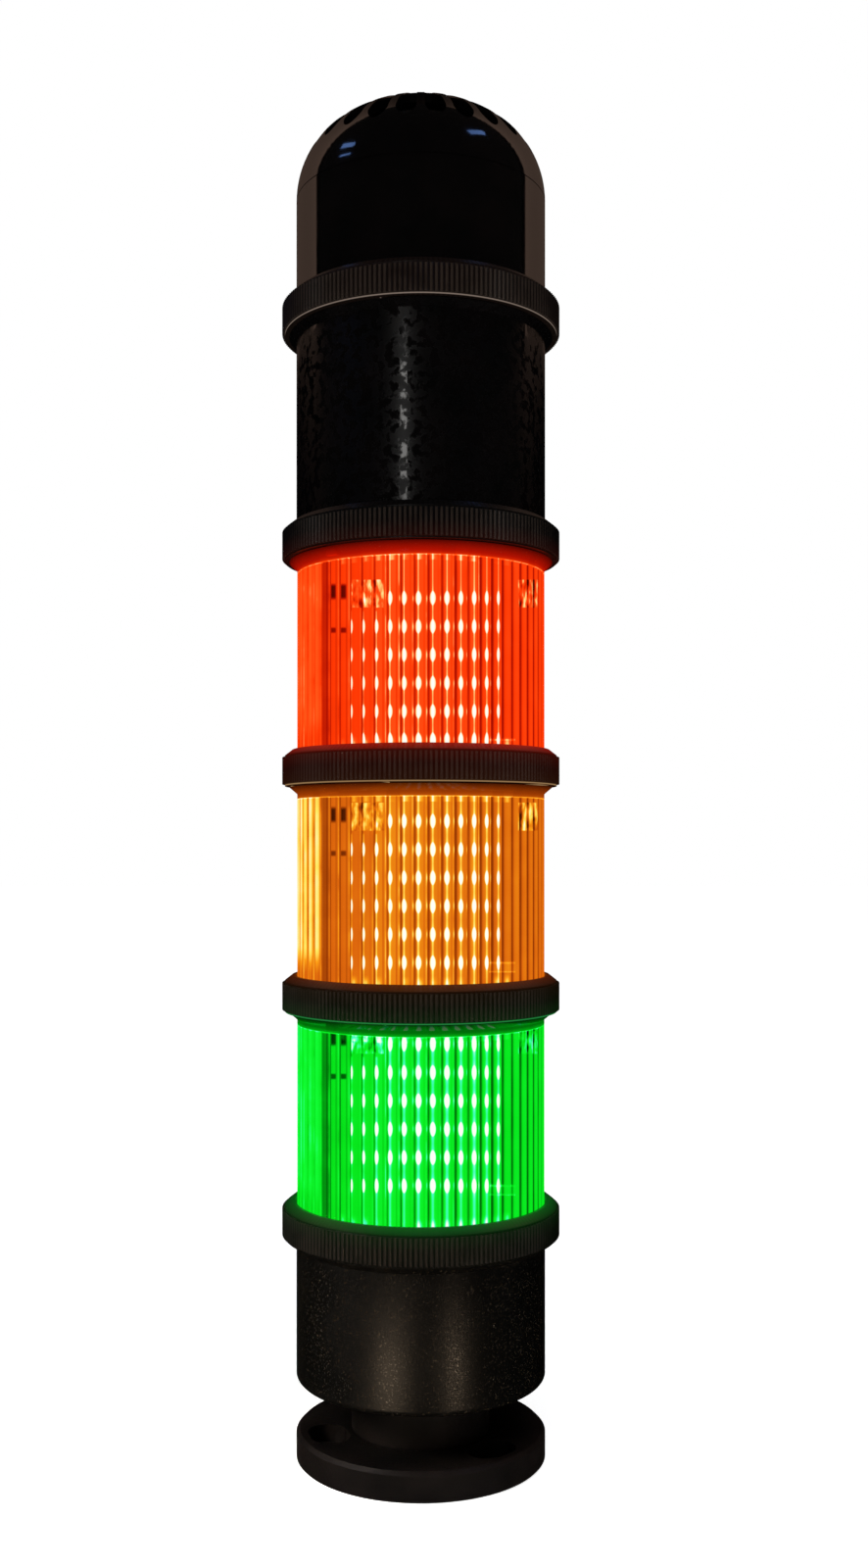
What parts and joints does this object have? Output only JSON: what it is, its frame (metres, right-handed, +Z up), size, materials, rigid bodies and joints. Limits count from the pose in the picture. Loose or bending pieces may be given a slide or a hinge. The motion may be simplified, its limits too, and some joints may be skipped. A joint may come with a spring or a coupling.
{
  "type": "stack light",
  "caption": "Modular signal tower: screw-down foot, terminal housing, green, amber and red fluted LED lenses, black bus module and slotted sounder dome, joined by knurled locking rings.",
  "frame": {"origin": "centre of the foot's underside", "axes": "+Z up the tower's axis, -Y towards the front that the locking tabs and the LEDs face"},
  "size_m": [0.078, 0.078, 0.3786],
  "materials": {
    "housing_black": "gloss, moulded",
    "ring_black": "satin, moulded",
    "foot_black": "fine spark texture",
    "green_lens": "clear tinted, fluted inside",
    "amber_lens": "clear tinted, fluted inside",
    "red_lens": "clear tinted, fluted inside",
    "green_led": "lit",
    "amber_led": "lit",
    "red_led": "lit",
    "inner_black": "satin, moulded",
    "board_laminate": "white solder mask",
    "chip_black": "matte",
    "relay_blue": "satin",
    "terminal_grey": "satin",
    "transducer_black": "satin",
    "zinc_steel": "zinc plated",
    "contact_brass": "plated",
    "seal_rubber": "matte"
  },
  "bodies": {
    "tower": {"foot": "foot_black", "foot_gasket": "seal_rubber", "neck_seal": "seal_rubber", "base_housing": "housing_black", "clamp_plate": "zinc_steel", "clamp_screws": "zinc_steel", "cable_grommet": "seal_rubber", "terminal_block": "terminal_grey", "terminal_screws": "zinc_steel", "base_socket_plate": "inner_black", "joint_seal_1": "seal_rubber", "joint_seal_2": "seal_rubber", "joint_seal_3": "seal_rubber", "joint_seal_4": "seal_rubber", "joint_seal_5": "seal_rubber", "green_lens": "green_lens", "green_leds": "green_led", "green_plug_plate": "inner_black", "green_contact_pins": "contact_brass", "green_board": "board_laminate", "green_board_parts": "chip_black", "green_socket_plate": "inner_black", "amber_lens": "amber_lens", "amber_leds": "amber_led", "amber_plug_plate": "inner_black", "amber_contact_pins": "contact_brass", "amber_board": "board_laminate", "amber_board_parts": "chip_black", "amber_socket_plate": "inner_black", "red_lens": "red_lens", "red_leds": "red_led", "red_plug_plate": "inner_black", "red_contact_pins": "contact_brass", "red_board": "board_laminate", "red_board_parts": "chip_black", "red_socket_plate": "inner_black", "bus_housing": "housing_black", "bus_relays": "relay_blue", "bus_plug_plate": "inner_black", "bus_contact_pins": "contact_brass", "bus_board": "board_laminate", "bus_board_parts": "chip_black", "bus_socket_plate": "inner_black", "sounder_plug_plate": "inner_black", "sounder_contact_pins": "contact_brass", "sounder_housing": "housing_black", "sounder_board": "board_laminate", "sounder_cap": "housing_black", "transducer": "transducer_black"},
    "locking_ring_1": {"locking_ring_1": "ring_black"},
    "locking_ring_2": {"locking_ring_2": "ring_black"},
    "locking_ring_3": {"locking_ring_3": "ring_black"},
    "locking_ring_4": {"locking_ring_4": "ring_black"},
    "locking_ring_5": {"locking_ring_5": "ring_black"}
  },
  "joints": [
    {"name": "ring_1_turn", "type": "hinge", "parent": "tower", "child": "locking_ring_1", "pos_m": [0, 0, 0.0663], "axis": [0, 0, 1], "range_deg": [0, 30]},
    {"name": "ring_2_turn", "type": "hinge", "parent": "tower", "child": "locking_ring_2", "pos_m": [0, 0, 0.1293], "axis": [0, 0, 1], "range_deg": [0, 30]},
    {"name": "ring_3_turn", "type": "hinge", "parent": "tower", "child": "locking_ring_3", "pos_m": [0, 0, 0.1923], "axis": [0, 0, 1], "range_deg": [0, 30]},
    {"name": "ring_4_turn", "type": "hinge", "parent": "tower", "child": "locking_ring_4", "pos_m": [0, 0, 0.2553], "axis": [0, 0, 1], "range_deg": [0, 30]},
    {"name": "ring_5_turn", "type": "hinge", "parent": "tower", "child": "locking_ring_5", "pos_m": [0, 0, 0.3183], "axis": [0, 0, 1], "range_deg": [0, 30]}
  ]
}
